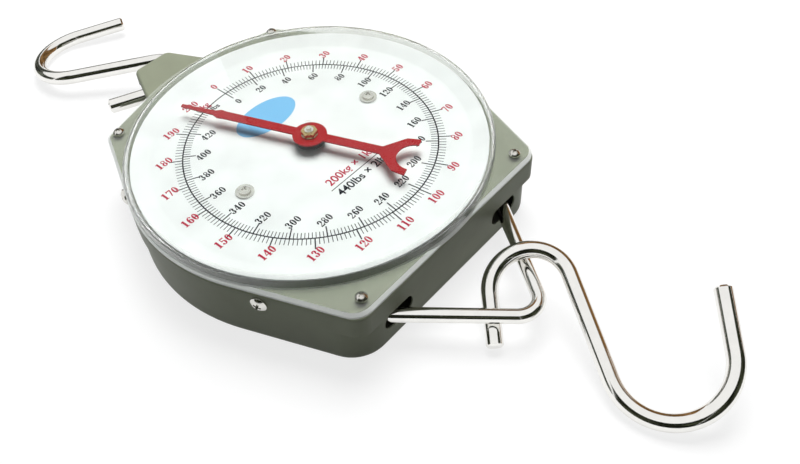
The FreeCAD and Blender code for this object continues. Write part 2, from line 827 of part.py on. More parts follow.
def rack():
    """The toothed bar that the yoke pulls down past the pinion, with the eye for its pin."""
    pitch = math.pi * tooth_module
    pitch_line = pinion_teeth * tooth_module / 2
    tip = pitch_line - tooth_module
    root = pitch_line + 1.25 * tooth_module
    back = root + rack_width
    slope = math.tan(math.radians(pressure_angle))
    half = pitch / 4 - tooth_backlash / 2
    head = (rack_top_teeth + 0.5) * pitch
    points = [Vector(back, head, 0), Vector(root, head, 0)]
    for i in range(rack_top_teeth, -rack_bottom_teeth - 1, -1):
        middle = i * pitch
        points.append(Vector(root, middle + half + (root - pitch_line) * slope, 0))
        points.append(Vector(tip, middle + half - tooth_module * slope, 0))
        points.append(Vector(tip, middle - half + tooth_module * slope, 0))
        points.append(Vector(root, middle - half - (root - pitch_line) * slope, 0))
    foot = rack_pin_y()
    points += [Vector(root, foot, 0), Vector(back, foot, 0), points[0]]
    low = pinion_rear + (tooth_face - rack_thickness) / 2
    bar = prism(Part.Face(Part.makePolygon(points)), low, low + rack_thickness)
    eye = upright(2 * rack_eye_radius, rack_centre_x(), foot, low, low + rack_thickness)
    return joined([bar, eye]).cut(upright(rack_pin_diameter, rack_centre_x(), foot, 0, face_height))


def rack_pin():
    """The headed pin through the yoke's flanges that the rack hangs on."""
    return headed_pin(rack_pin_diameter, rack_centre_x(), rack_pin_y())


def guide_span():
    """Where the rack's guide shoe starts and ends across X."""
    start = rack_centre_x() + rack_width / 2 + 2 * running_fit
    return start, stem_half_width - 0.5


def rack_guide():
    """The brass shoe that keeps the rack in mesh."""
    start, end = guide_span()
    shoe = slab((start, end), (-guide_half_height, guide_half_height),
                (frame_rear + frame_plate, guide_top()))
    for y in (-guide_screw_y, guide_screw_y):
        shoe = shoe.cut(upright(guide_screw_diameter, (start + end) / 2, y, 0, face_height))
    return shoe


def guide_top():
    """The front of the guide shoe, just past the rack."""
    return pinion_rear + tooth_face + 1


def guide_screws():
    """The two screws of the guide shoe."""
    start, end = guide_span()
    length = guide_top() - frame_rear - frame_plate
    screw = pan_screw(guide_head_diameter, bridge_head_height, guide_screw_diameter, length)
    spots = [((start + end) / 2, y, guide_top()) for y in (-guide_screw_y, guide_screw_y)]
    return Part.makeCompound([placed(screw, spot) for spot in spots])


# ---- Spindle, bushes and bridge ------------------------------------------------------------------

def spindle():
    """The spindle: a thin journal at its rear end, and a thread and a turned tip in front of the pointer."""
    body = upright(spindle_diameter, 0, 0, hub_rear(), pointer_rear)
    thread = upright(spindle_thread_diameter, 0, 0, pointer_rear, spindle_thread_front)
    tip = upright(spindle_tip_diameter, 0, 0, spindle_thread_front, spindle_front)
    return joined([body, upright(journal_diameter, 0, 0, journal_rear, hub_rear()), thread, tip])


def bush(hole, barrel, flange, low, high, flange_low):
    """A flanged bush on the dial's axis."""
    rim = upright(flange, 0, 0, flange_low, flange_low + bush_flange)
    return joined([upright(barrel, 0, 0, low, high), rim]).cut(upright(hole, 0, 0, 0, cover_top))


def rear_bush():
    """The bush in the main frame."""
    top = frame_rear + frame_plate
    hole = journal_diameter + 2 * running_fit
    return bush(hole, rear_bush_diameter, rear_bush_flange_diameter, frame_rear, top, top)


def front_bush():
    """The bush in the bridge."""
    hole = spindle_diameter + 2 * running_fit
    return bush(hole, front_bush_diameter, front_bush_flange_diameter,
                bridge_rear, bridge_rear + bridge_plate, bridge_rear - bush_flange)


def bridge_places():
    """The four pillars of the bridge."""
    return mirrored_pair([(pillar_x, pillar_y), (pillar_x, -pillar_y)])


def bridge():
    """The front plate of the movement, with two wings that carry the dial posts."""
    centre = slab((-bridge_half_width, bridge_half_width), (-bridge_half_height, bridge_half_height),
                  (bridge_rear, bridge_rear + bridge_plate))
    wings = slab((-bridge_wing, bridge_wing),
                 (dial_screw_rise - bridge_wing_half_height, dial_screw_rise + bridge_wing_half_height),
                 (bridge_rear, bridge_rear + bridge_plate))
    plate = joined([centre, wings])
    holes = [upright(front_bush_diameter, 0, 0, 0, cover_top)]
    holes += [upright(stud_diameter, x, y, 0, cover_top) for x, y in bridge_places()]
    holes += [upright(dial_screw_diameter, x, y, 0, cover_top) for x, y in dial_screw_places()]
    return plate.cut(holes)


def bridge_pillars():
    """The four pillars between the main frame and the bridge."""
    pillars = []
    for x, y in bridge_places():
        pillar = upright(pillar_diameter, x, y, frame_rear + frame_plate, bridge_rear)
        pillars.append(pillar.cut(upright(stud_diameter, x, y, bridge_rear - pillar_thread, 2 * bridge_rear)))
    return Part.makeCompound(pillars)


def bridge_screws():
    """The four screws of the bridge."""
    screw = pan_screw(bridge_head_diameter, bridge_head_height, stud_diameter, bridge_screw_length)
    top = bridge_rear + bridge_plate
    return Part.makeCompound([placed(screw, (x, y, top)) for x, y in bridge_places()])


def frame_nuts():
    """The nuts that hold the main frame on the rear shell's studs."""
    blank = nut(frame_nut_flats, stud_diameter, frame_nut_thickness)
    return Part.makeCompound([placed(blank, (x, y, frame_rear + frame_plate)) for x, y in stud_places()])


# ---- Hanger --------------------------------------------------------------------------------------

def hanger_strap(bottom):
    """One of the two straps that carry the hanger pin in the neck."""
    end = neck_end_reach - 2 * sheet - shell_gap - hanger_end_gap
    foot = frame_bar_foot + hanger_foot_rise
    round_end = hanger_half_width - hanger_foot_radius
    corners = [
        (Vector(-hanger_half_width, foot, 0), hanger_foot_radius),
        (Vector(hanger_half_width, foot, 0), hanger_foot_radius),
        (Vector(hanger_half_width, end, 0), round_end),
        (Vector(-hanger_half_width, end, 0), round_end),
    ]
    plate = prism(rounded_face(corners), bottom, bottom + strap)
    holes = [upright(hanger_pin_diameter, 0, hanger_pin_y, 0, face_height)]
    holes += [upright(hanger_bolt_diameter, 0, y, 0, face_height) for y in hanger_bolt_ys]
    return plate.cut(holes)


def hanger_front():
    """The strap in front of the main frame."""
    return hanger_strap(frame_front)


def hanger_rear():
    """The strap behind the main frame."""
    return hanger_strap(frame_rear - strap)


def hanger_pin():
    """The pin across the neck that the upper hook's loop goes round, riveted behind the rear strap."""
    rear = frame_rear - strap
    shank = upright(hanger_pin_diameter, 0, hanger_pin_y, rear - pin_head_thickness, frame_front + strap)
    head_diameter = hanger_pin_diameter + hanger_pin_head_step
    return joined([upright(head_diameter, 0, hanger_pin_y, rear - pin_head_thickness, rear), shank])


def hanger_bolts():
    """The two bolts that clamp the straps on the main frame."""
    rear = frame_rear - strap
    head = hex_prism(hanger_nut_flats, rear - hanger_bolt_head, rear)
    end = frame_front + strap + hanger_nut_thickness + hanger_bolt_end
    bolt = joined([head, upright(hanger_bolt_diameter, 0, 0, rear, end)])
    return Part.makeCompound([placed(bolt, (0, y, 0)) for y in hanger_bolt_ys])


def hanger_nuts():
    """The nuts of the hanger bolts."""
    blank = nut(hanger_nut_flats, hanger_bolt_diameter, hanger_nut_thickness)
    return Part.makeCompound([placed(blank, (0, y, frame_front + strap)) for y in hanger_bolt_ys])


def hanger_spacers():
    """The tubes that keep the frame's flanges apart under the bolts."""
    tubes = []
    for y in hanger_bolt_ys:
        outside = hanger_bolt_diameter + 2 * hanger_spacer_wall
        tube = upright(outside, 0, y, frame_rear + frame_plate, frame_front - frame_plate)
        tubes.append(tube.cut(upright(hanger_bolt_diameter, 0, y, 0, face_height)))
    return Part.makeCompound(tubes)


# ---- Pointer -------------------------------------------------------------------------------------

def pointer():
    """The stamped pointer: a barbed needle, a round hub and a forked tail, set at its rest angle."""
    right = [
        (needle_tip_width / 2, needle_reach),
        (needle_width / 2, needle_barb + needle_barb_width / 2),
        (needle_barb_width / 2, needle_barb),
        (pointer_bar / 2, needle_barb - needle_barb_width / 2),
        (pointer_bar / 2, -tail_flare),
        (tail_corner_width / 2, -tail_corner),
        (tail_width / 2, -tail_reach),
    ]
    corners = [Vector(x, y, 0) for x, y in right] + [Vector(-x, y, 0) for x, y in reversed(right)]
    top = pointer_rear + pointer_sheet
    plate = prism(Part.Face(Part.makePolygon(corners + corners[:1])), pointer_rear, top)
    prong_tips = [edge for edge in plate.Edges if edge.BoundBox.YMax < -tail_reach + 0.01
                  and edge.BoundBox.ZLength > pointer_sheet / 2]
    plate = plate.makeFillet(pointer_sheet, prong_tips)
    plate = joined([plate, upright(pointer_hub_diameter, 0, 0, pointer_rear, top)])
    plate = plate.cut([upright(2 * notch_radius, 0, -notch_centre, 0, cover_top),
                       upright(spindle_thread_diameter, 0, 0, 0, cover_top)])
    plate.rotate(Vector(0, 0, 0), Vector(0, 0, 1), pointer_turn)
    return plate


def pointer_boss():
    """The dark boss that the pointer stands on, with a thinner foot."""
    foot = upright(boss_foot_diameter, 0, 0, dial_face_height + boss_foot_gap, pointer_rear)
    disc = upright(boss_diameter, 0, 0, pointer_rear - boss_height, pointer_rear)
    return joined([foot, disc]).cut(upright(spindle_diameter, 0, 0, 0, cover_top))


def pointer_washer():
    """The thin washer under the pointer nut."""
    bottom = pointer_rear + pointer_sheet
    body = upright(pointer_washer_diameter, 0, 0, bottom, bottom + pointer_washer_thickness)
    return body.cut(upright(spindle_thread_diameter, 0, 0, 0, cover_top))


def pointer_nut():
    """The brass nut that clamps the pointer."""
    blank = nut(pointer_nut_flats, spindle_thread_diameter, pointer_nut_thickness)
    blank.rotate(Vector(0, 0, 0), Vector(0, 0, 1), pointer_nut_turn)
    return placed(blank, (0, 0, pointer_rear + pointer_sheet + pointer_washer_thickness))


# ---- Bail and hooks ------------------------------------------------------------------------------

def bail_leg_top():
    """The end of the bail's legs, just through their nuts."""
    return yoke_foot + frame_plate + bail_washer_thickness + bail_nut_thickness + bail_leg_end


def load_bail():
    """The V of round wire: a rounded tip, two sloping legs, and straight ends up to the yoke."""
    slope = unit(90 - bail_half_angle)
    tip_centre = bail_tip_y + bail_tip_radius
    shoulder_x = bail_tip_radius * math.cos(math.radians(bail_half_angle))
    shoulder_y = tip_centre - bail_tip_radius * math.sin(math.radians(bail_half_angle))
    run = (bail_leg_spread - shoulder_x) / slope.x
    corner_y = shoulder_y + run * slope.y
    trim = bail_bend_radius * math.tan(math.radians(bail_half_angle / 2))
    straight = bail_leg_top() - corner_y - trim
    steps = [
        straight,
        (bail_bend_radius, bail_half_angle),
        run - trim,
        (bail_tip_radius, 180.0 - 2 * bail_half_angle),
        run - trim,
        (bail_bend_radius, bail_half_angle),
        straight,
    ]
    return bent_rod((bail_shift - bail_leg_spread, bail_leg_top(), bail_height), -90.0, steps, bail_wire)


def bail_leg_places():
    """The two straight legs of the bail."""
    return [(bail_shift + side * bail_leg_spread) for side in (1, -1)]


def bail_washers():
    """The washers between the yoke and the bail's nuts."""
    foot = yoke_foot + frame_plate
    rings = []
    for x in bail_leg_places():
        ring = rod(bail_washer_diameter, (x, foot, bail_height), (0, 1, 0), bail_washer_thickness)
        rings.append(ring.cut(rod(bail_wire, (x, yoke_foot, bail_height), (0, 1, 0), -2 * yoke_foot)))
    return Part.makeCompound(rings)


def bail_nuts():
    """The nuts on the threaded ends of the bail."""
    blank = nut(bail_nut_flats, bail_wire, bail_nut_thickness)
    foot = yoke_foot + frame_plate + bail_washer_thickness
    return Part.makeCompound([placed(blank, (x, foot, bail_height), (0, 1, 0)) for x in bail_leg_places()])


def s_hook():
    """The S-hook in its own plane: the shank along +Y, the small bend above and the big bend below."""
    big_centre = Vector(hook_big_radius, -hook_shank / 2, 0)
    start = big_centre + unit(180 + hook_big_turn) * hook_big_radius
    heading = 90 + hook_big_turn
    tip = start - unit(heading) * hook_big_end
    steps = [hook_big_end, (hook_big_radius, -hook_big_turn), hook_shank,
             (hook_small_radius, hook_small_turn), hook_small_end]
    bar = bent_rod(tuple(tip), heading, steps, hook_bar)
    small_centre = Vector(-hook_small_radius, hook_shank / 2, 0)
    last = small_centre + unit(hook_small_turn) * hook_small_radius
    last += unit(90 + hook_small_turn) * hook_small_end
    ends = [edge for edge in bar.Edges for end in (tip, last) if (edge.CenterOfMass - end).Length < 0.01]
    return bar.makeChamfer(hook_end_chamfer, ends)


def hook_placement(centre, turns):
    """The placement of a hook from the middle of its shank and its turns about Z, X and Y."""
    rotation = FreeCAD.Rotation(Vector(0, 0, 1), turns[0])
    rotation = rotation.multiply(FreeCAD.Rotation(Vector(1, 0, 0), turns[1]))
    rotation = rotation.multiply(FreeCAD.Rotation(Vector(0, 1, 0), turns[2]))
    return FreeCAD.Placement(Vector(*centre), rotation)


def laid_hook(centre, turns):
    """A hook at its resting place, with its lowest point in the plane of the rear face."""
    hook = s_hook()
    hook.Placement = hook_placement(centre, turns)
    box = hook.optimalBoundingBox(False)
    hook.translate(Vector(0, 0, -box.ZMin))
    return hook


def upper_hook():
    """The hook that hangs the scale up."""
    return laid_hook(upper_hook_centre, upper_hook_turns)


def lower_hook():
    """The hook that carries the load."""
    return laid_hook(lower_hook_centre, lower_hook_turns)


# ---- Nodes ---------------------------------------------------------------------------------------

def nodes():
    """Every sub-part by its node's name."""
    return {
        "front_shell": front_shell(),
        "rear_shell": rear_shell(),
        "side_screws": side_screws(),
        "side_nuts": side_nuts(),
        "dial_plate": dial_plate(),
        "dial_washers": dial_washers(),
        "dial_screws": dial_screws(),
        "dial_posts": dial_posts(),
        "dial_cover": dial_cover(),
        "corner_screws": corner_screws(),
        "corner_nuts": corner_nuts(),
        "main_frame": main_frame(),
        "frame_nuts": frame_nuts(),
        "upper_spring_pins": spring_pins(upper_pin_y),
        "lower_spring_pins": spring_pins(lower_pin_y),
        "left_spring": spring(-spring_x),
        "right_spring": spring(spring_x),
        "yoke": yoke(),
        "rack": rack(),
        "rack_pin": rack_pin(),
        "rack_guide": rack_guide(),
        "guide_screws": guide_screws(),
        "pinion": pinion(),
        "spindle": spindle(),
        "rear_bush": rear_bush(),
        "front_bush": front_bush(),
        "bridge": bridge(),
        "bridge_pillars": bridge_pillars(),
        "bridge_screws": bridge_screws(),
        "hanger_front": hanger_front(),
        "hanger_rear": hanger_rear(),
        "hanger_pin": hanger_pin(),
        "hanger_bolts": hanger_bolts(),
        "hanger_nuts": hanger_nuts(),
        "hanger_spacers": hanger_spacers(),
        "pointer": pointer(),
        "pointer_boss": pointer_boss(),
        "pointer_washer": pointer_washer(),
        "pointer_nut": pointer_nut(),
        "load_bail": load_bail(),
        "bail_washers": bail_washers(),
        "bail_nuts": bail_nuts(),
        "upper_hook": upper_hook(),
        "lower_hook": lower_hook(),
    }


os.makedirs("parts", exist_ok=True)
for node_name, node_shape in nodes().items():
    node_shape.exportStep(os.path.join("parts", node_name + ".step"))
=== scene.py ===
import math
import bmesh
import bpy
from mathutils import Matrix, Vector


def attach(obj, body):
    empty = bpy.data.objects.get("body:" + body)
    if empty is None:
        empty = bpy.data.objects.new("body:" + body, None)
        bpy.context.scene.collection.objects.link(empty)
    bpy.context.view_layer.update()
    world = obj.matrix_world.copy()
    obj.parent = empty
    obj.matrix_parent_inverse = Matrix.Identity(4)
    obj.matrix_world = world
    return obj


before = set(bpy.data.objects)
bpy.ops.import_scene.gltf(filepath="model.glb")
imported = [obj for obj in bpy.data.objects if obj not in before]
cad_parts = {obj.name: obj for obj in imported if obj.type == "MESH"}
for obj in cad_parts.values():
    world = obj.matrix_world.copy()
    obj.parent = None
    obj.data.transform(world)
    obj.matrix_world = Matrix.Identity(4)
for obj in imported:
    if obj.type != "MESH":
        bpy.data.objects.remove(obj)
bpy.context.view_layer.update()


# ----------------------------------------------------------------------------------------------------------
# Camera. It stands over the lower left of the scale and looks down across the dial, with the upper hook
# pointing to the top left.
camera_data = bpy.data.cameras.new("camera")
camera = bpy.data.objects.new("camera", camera_data)
bpy.context.scene.collection.objects.link(camera)
camera_right = Vector((0.64353936, -0.76449164, -0.0375449))
camera_up = Vector((0.58723451, 0.46167569, 0.66483922))
camera_back = Vector((-0.49093046, -0.44989787, 0.74604236))
camera_place = Vector((-0.225212, -0.268879, 0.354619))
turn = Matrix((camera_right, camera_up, camera_back)).transposed().to_4x4()
camera.matrix_world = Matrix.Translation(camera_place) @ turn
camera_data.sensor_width = 36.0
camera_data.lens = 38.02
camera_data.clip_start = 0.01
bpy.context.scene.camera = camera


# ----------------------------------------------------------------------------------------------------------
# Table, surroundings and light. The scale lies on a seamless white table under one broad soft light. Dark
# walls stand around the table, hidden from the camera. They glow faintly in olive, brown and grey, and the
# bright bars mirror them as painted reflections, in dark and brown lines.
def new_material(name):
    """An empty procedural material."""
    material = bpy.data.materials.new(name)
    material.use_nodes = True
    return material


def maths(tree, operation, *terms):
    """The result of one sum, whose terms are sockets or plain numbers."""
    node = tree.nodes.new("ShaderNodeMath")
    node.operation = operation
    for term, socket in zip(terms, node.inputs):
        if isinstance(term, float):
            socket.default_value = term
        else:
            tree.links.new(term, socket)
    return node.outputs[0]


def speckle(tree, scale, detail=2.0):
    """Cloudy noise that is fixed to the piece."""
    place = tree.nodes.new("ShaderNodeTexCoord")
    noise = tree.nodes.new("ShaderNodeTexNoise")
    noise.inputs["Scale"].default_value = scale
    noise.inputs["Detail"].default_value = detail
    tree.links.new(place.outputs["Object"], noise.inputs["Vector"])
    return noise.outputs["Fac"]


def toned(tree, amount, low, low_colour, high, high_colour):
    """A colour that runs from one tone to another as the amount grows."""
    ramp = tree.nodes.new("ShaderNodeValToRGB")
    ramp.color_ramp.elements[0].position = low
    ramp.color_ramp.elements[0].color = tuple(low_colour) + (1,)
    ramp.color_ramp.elements[1].position = high
    ramp.color_ramp.elements[1].color = tuple(high_colour) + (1,)
    tree.links.new(amount, ramp.inputs["Fac"])
    return ramp.outputs["Color"]


def ranged(tree, amount, low, high, start=0.0, end=1.0):
    """The amount, stretched from start...end to low...high."""
    node = tree.nodes.new("ShaderNodeMapRange")
    node.inputs["From Min"].default_value = start
    node.inputs["From Max"].default_value = end
    node.inputs["To Min"].default_value = low
    node.inputs["To Max"].default_value = high
    tree.links.new(amount, node.inputs["Value"])
    return node.outputs["Result"]


def mixed(tree, share, first, second):
    """Two shaders mixed, where the share is how much of the second shows."""
    node = tree.nodes.new("ShaderNodeMixShader")
    tree.links.new(share, node.inputs["Fac"])
    tree.links.new(first, node.inputs[1])
    tree.links.new(second, node.inputs[2])
    return node.outputs[0]


def seen_directly(tree):
    """1 on rays that show a surface to the eye, straight or through metal and clear plastic."""
    path = tree.nodes.new("ShaderNodeLightPath")
    straight = maths(tree, "MAXIMUM", path.outputs["Is Camera Ray"], path.outputs["Is Glossy Ray"])
    return maths(tree, "MAXIMUM", straight, path.outputs["Is Transmission Ray"])


table_height = -0.0001
table_reach = 6.0
table_mesh = bpy.data.meshes.new("table")
table_corners = [(-table_reach, -table_reach, table_height), (table_reach, -table_reach, table_height),
                 (table_reach, table_reach, table_height), (-table_reach, table_reach, table_height)]
table_mesh.from_pydata(table_corners, [], [(0, 1, 2, 3)])
table = bpy.data.objects.new("table", table_mesh)
bpy.context.scene.collection.objects.link(table)
table_white = new_material("table_white")
tree = table_white.node_tree
tree.nodes.clear()
table_diffuse = tree.nodes.new("ShaderNodeBsdfDiffuse")
table_diffuse.inputs["Color"].default_value = (0.26, 0.26, 0.26, 1)
table_glow = tree.nodes.new("ShaderNodeEmission")
table_glow.inputs["Color"].default_value = (1, 1, 1, 1)
table_place = tree.nodes.new("ShaderNodeTexCoord")
table_distance = tree.nodes.new("ShaderNodeVectorMath")
table_distance.operation = "LENGTH"
tree.links.new(table_place.outputs["Object"], table_distance.inputs[0])
glow_by_scale = 0.77
glow_far_off = 1.0
fade_start = 0.5
fade_end = 2.0
table_fade = ranged(tree, table_distance.outputs["Value"], glow_by_scale, glow_far_off, fade_start, fade_end)
table_lift = maths(tree, "MULTIPLY", seen_directly(tree), table_fade)
tree.links.new(table_lift, table_glow.inputs["Strength"])
table_sum = tree.nodes.new("ShaderNodeAddShader")
tree.links.new(table_diffuse.outputs[0], table_sum.inputs[0])
tree.links.new(table_glow.outputs[0], table_sum.inputs[1])
table_out = tree.nodes.new("ShaderNodeOutputMaterial")
tree.links.new(table_sum.outputs[0], table_out.inputs["Surface"])
table_mesh.materials.append(table_white)


def wall_paint(name, dark, light):
    """Two patchy glowing tones, a painted reflection that gives the bright metal's reflections their colour.
    """
    material = new_material(name)
    tree = material.node_tree
    tree.nodes.clear()
    # The wall's glow is painted reflection: it stands in for the dark and brown surroundings that the bright
    # bars mirror.
    shown = tree.nodes.new("ShaderNodeEmission")
    tree.links.new(toned(tree, speckle(tree, 1.1), 0.38, dark, 0.66, light), shown.inputs["Color"])
    out = tree.nodes.new("ShaderNodeOutputMaterial")
    tree.links.new(shown.outputs[0], out.inputs["Surface"])
    return material


def dark_wall(name, paint, start, end, high, shades=False, radius=2.6, steps=40):
    """A curved wall between two headings in degrees from +X. It is seen in reflections, and may shade too."""
    mesh = bpy.data.meshes.new(name)
    points = []
    for i in range(steps + 1):
        heading = math.radians(start + (end - start) * i / steps)
        for height in (0.0, high):
            points.append((radius * math.cos(heading), radius * math.sin(heading), height))
    mesh.from_pydata(points, [], [(2 * i, 2 * i + 2, 2 * i + 3, 2 * i + 1) for i in range(steps)])
    mesh.materials.append(paint)
    wall = bpy.data.objects.new(name, mesh)
    bpy.context.scene.collection.objects.link(wall)
    wall.visible_camera = False
    wall.visible_diffuse = shades
    wall.visible_shadow = False
    wall.visible_transmission = False


# Glowing walls in olive, brown and grey: painted reflections for the bright metal.
olive_wall = wall_paint("olive_wall", (0.002, 0.003, 0.002), (0.06, 0.065, 0.04))
brown_wall = wall_paint("brown_wall", (0.10, 0.055, 0.022), (0.36, 0.20, 0.08))
grey_wall = wall_paint("grey_wall", (0.01, 0.012, 0.01), (0.14, 0.15, 0.12))
dark_wall("near_wall", olive_wall, -200, -125, 3.2)
dark_wall("shade_wall", olive_wall, -124, -45, 3.2, shades=True)
dark_wall("right_wall", brown_wall, -44, 60, 2.6)
dark_wall("far_wall", grey_wall, 65, 155, 1.1)

world = bpy.data.worlds.new("studio")
bpy.context.scene.world = world
world.use_nodes = True
tree = world.node_tree
tree.nodes.clear()
world_seen = tree.nodes.new("ShaderNodeBackground")
world_seen.inputs["Color"].default_value = (1, 1, 1, 1)
world_seen.inputs["Strength"].default_value = 1.0
world_fill = tree.nodes.new("ShaderNodeBackground")
world_fill.inputs["Color"].default_value = (0.93, 0.97, 1, 1)
world_fill.inputs["Strength"].default_value = 0.20
world_light = mixed(tree, seen_directly(tree), world_fill.outputs[0], world_seen.outputs[0])
world_out = tree.nodes.new("ShaderNodeOutputWorld")
tree.links.new(world_light, world_out.inputs["Surface"])

softbox_data = bpy.data.lights.new("softbox", "AREA")
softbox_data.shape = "RECTANGLE"
softbox_side = 1.0
softbox_data.size = softbox_side
softbox_data.size_y = softbox_side
softbox_data.energy = 28.0
softbox = bpy.data.objects.new("softbox", softbox_data)
bpy.context.scene.collection.objects.link(softbox)
softbox_place = Vector((0.55, 0.35, 1.35))
softbox.location = softbox_place
softbox.rotation_euler = (-softbox_place).to_track_quat("-Z", "Y").to_euler()
softbox.visible_glossy = False
softbox.visible_transmission = False


# ----------------------------------------------------------------------------------------------------------
# Casing. Two pans pressed from thin steel, the front one over the rear one, and sprayed with olive-grey
# enamel. The enamel has a fine orange peel.
def bumped(tree, height, strength, distance):
    """The surface's direction, roughened by a fine relief."""
    bump = tree.nodes.new("ShaderNodeBump")
    bump.inputs["Strength"].default_value = strength
    bump.inputs["Distance"].default_value = distance
    tree.links.new(height, bump.inputs["Height"])
    return bump.outputs["Normal"]


def enamel(name, colour, roughness, peel, gloss=0.35):
    """Sprayed enamel: a faint cloudiness and a fine orange peel."""
    material = new_material(name)
    tree = material.node_tree
    paint = tree.nodes["Principled BSDF"]
    paint.inputs["Specular IOR Level"].default_value = gloss
    cloud = speckle(tree, 45.0, 4.0)
    thin = [0.93 * c for c in colour]
    full = [min(1.0, 1.05 * c) for c in colour]
    tree.links.new(toned(tree, cloud, 0.3, thin, 0.7, full), paint.inputs["Base Color"])
    tree.links.new(ranged(tree, cloud, roughness - 0.06, roughness + 0.08), paint.inputs["Roughness"])
    tree.links.new(bumped(tree, speckle(tree, 1400.0), peel, 0.0002), paint.inputs["Normal"])
    return material


def finish(material, *names):
    """Gives solid parts their finish."""
    for name in names:
        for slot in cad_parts[name].material_slots:
            slot.material = material


olive_enamel = enamel("olive_enamel", (0.27, 0.29, 0.21), 0.42, 0.12, gloss=0.15)
finish(olive_enamel, "front_shell", "rear_shell")


# ----------------------------------------------------------------------------------------------------------
# Plated steel. The screws, washers, nuts and the pressed parts of the movement are zinc or nickel plated,
# with faint stains and tool marks. The brass parts are turned or stamped.
def plating(name, colour, roughness, marks, stained=0.82):
    """Plated or bare metal with faint stains and fine marks left by the tools."""
    material = new_material(name)
    tree = material.node_tree
    metal = tree.nodes["Principled BSDF"]
    metal.inputs["Metallic"].default_value = 1.0
    stains = speckle(tree, 160.0, 5.0)
    stain_colour = [stained * c for c in colour]
    tree.links.new(toned(tree, stains, 0.3, stain_colour, 0.72, colour), metal.inputs["Base Color"])
    smoothest = max(0.02, roughness - 0.07)
    tree.links.new(ranged(tree, stains, smoothest, roughness + 0.09), metal.inputs["Roughness"])
    tree.links.new(bumped(tree, speckle(tree, 900.0, 3.0), marks, 0.0001), metal.inputs["Normal"])
    return material


zinc = plating("zinc", (0.62, 0.62, 0.60), 0.32, 0.15)
nickel = plating("nickel", (0.74, 0.73, 0.69), 0.14, 0.08)
brass = plating("brass", (0.60, 0.45, 0.22), 0.25, 0.12)
spring_steel = plating("spring_steel", (0.30, 0.30, 0.31), 0.34, 0.15)
finish(nickel, "side_screws", "corner_screws", "dial_screws", "dial_washers", "spindle")
finish(zinc, "side_nuts", "corner_nuts", "frame_nuts", "dial_posts", "main_frame", "yoke", "bridge",
       "bridge_pillars", "bridge_screws", "upper_spring_pins", "lower_spring_pins", "rack_pin",
       "guide_screws", "hanger_front", "hanger_rear", "hanger_pin", "hanger_bolts", "hanger_nuts",
       "hanger_spacers", "bail_washers", "bail_nuts", "pointer_washer")
finish(brass, "rack", "rack_guide", "pinion", "rear_bush", "front_bush", "pointer_nut")
finish(spring_steel, "left_spring", "right_spring")


# ----------------------------------------------------------------------------------------------------------
# Hooks and bail. Round steel bar, bent cold and bright plated, so that it mirrors its surroundings.
# Its plating is nearly free of stains.
bright_bar = plating("bright_bar", (0.88, 0.87, 0.84), 0.09, 0.04, stained=0.94)
finish(bright_bar, "upper_hook", "lower_hook", "load_bail")


# ----------------------------------------------------------------------------------------------------------
# Dial. A dished steel disc in gloss white enamel, on which the scale is printed.
dial_white = enamel("dial_white", (0.90, 0.91, 0.92), 0.35, 0.03)
finish(dial_white, "dial_plate")
dial_face = 0.0415


# The printed scale. Kilograms stand outside the ring in crimson numbers and pounds inside it in black ones.
# Each mark is a thin film of ink on the enamel.
def ink(name, colour):
    """Printing ink with a slightly uneven film."""
    material = new_material(name)
    tree = material.node_tree
    film = tree.nodes["Principled BSDF"]
    film.inputs["Roughness"].default_value = 0.5
    film.inputs["Specular IOR Level"].default_value = 0.15
    thin = [min(1.0, c + 0.02) for c in colour]
    tree.links.new(toned(tree, speckle(tree, 700.0), 0.25, colour, 0.9, thin), film.inputs["Base Color"])
    return material


black_ink = ink("black_ink", (0.003, 0.004, 0.010))
crimson_ink = ink("crimson_ink", (0.46, 0.006, 0.045))
blue_ink = ink("blue_ink", (0.20, 0.52, 0.85))

ink_film = 0.00004
print_height = dial_face + ink_film
degrees_per_kilogram = 1.725
kilograms_per_pound = 0.45359237
ring_radius = 0.070


def printed(name, mesh_data, material):
    """A film of ink on the dial."""
    mesh = bpy.data.meshes.new(name)
    mesh_data.to_mesh(mesh)
    mesh_data.free()
    mesh.materials.append(material)
    piece = bpy.data.objects.new(name, mesh)
    bpy.context.scene.collection.objects.link(piece)
    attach(piece, "case")


def dial_point(radius, clock_angle):
    """A point of the dial's face at an angle clockwise from twelve o'clock."""
    turned = math.radians(90 - clock_angle)
    return Vector((radius * math.cos(turned), radius * math.sin(turned), print_height))


def stroke(film, start, end, width):
    """A straight line of ink."""
    side = (end - start).normalized().cross(Vector((0, 0, 1))) * width / 2
    corners = [film.verts.new(p) for p in (start - side, end - side, end + side, start + side)]
    film.faces.new(corners)


def band_of_ink(film, centre, outer, inner, start, end, steps=24):
    """A curved stroke between two ellipses, each given by its half width and half height."""
    rows = []
    for i in range(steps + 1):
        angle = math.radians(start + (end - start) * i / steps)
        ring = []
        for across, up in (inner, outer):
            ring.append(film.verts.new(centre + Vector((across * math.cos(angle), up * math.sin(angle), 0))))
        rows.append(ring)
    for low, high in zip(rows, rows[1:]):
        film.faces.new((low[0], low[1], high[1], high[0]))


face_centre = Vector((0, 0, print_height))
marks = bmesh.new()
ring_width = 0.00075
ring_outer = ring_radius + ring_width / 2
ring_inner = ring_radius - ring_width / 2
band_of_ink(marks, face_centre, (ring_outer, ring_outer), (ring_inner, ring_inner), 0, 360, steps=360)
long_tick_width = 0.00070
short_tick_width = 0.00042
for kilograms in range(201):
    tens = kilograms % 10 == 0
    angle = kilograms * degrees_per_kilogram
    length = 0.0072 if tens else 0.0042
    tick_width = long_tick_width if tens else short_tick_width
    stroke(marks, dial_point(ring_radius, angle), dial_point(ring_radius + length, angle), tick_width)
for pounds in range(0, 441, 2):
    twenties = pounds % 20 == 0
    angle = pounds * kilograms_per_pound * degrees_per_kilogram
    length = 0.0070 if twenties else 0.0040
    tick_width = long_tick_width if twenties else short_tick_width
    stroke(marks, dial_point(ring_radius - length, angle), dial_point(ring_radius, angle), tick_width)
printed("scale_marks", marks, black_ink)


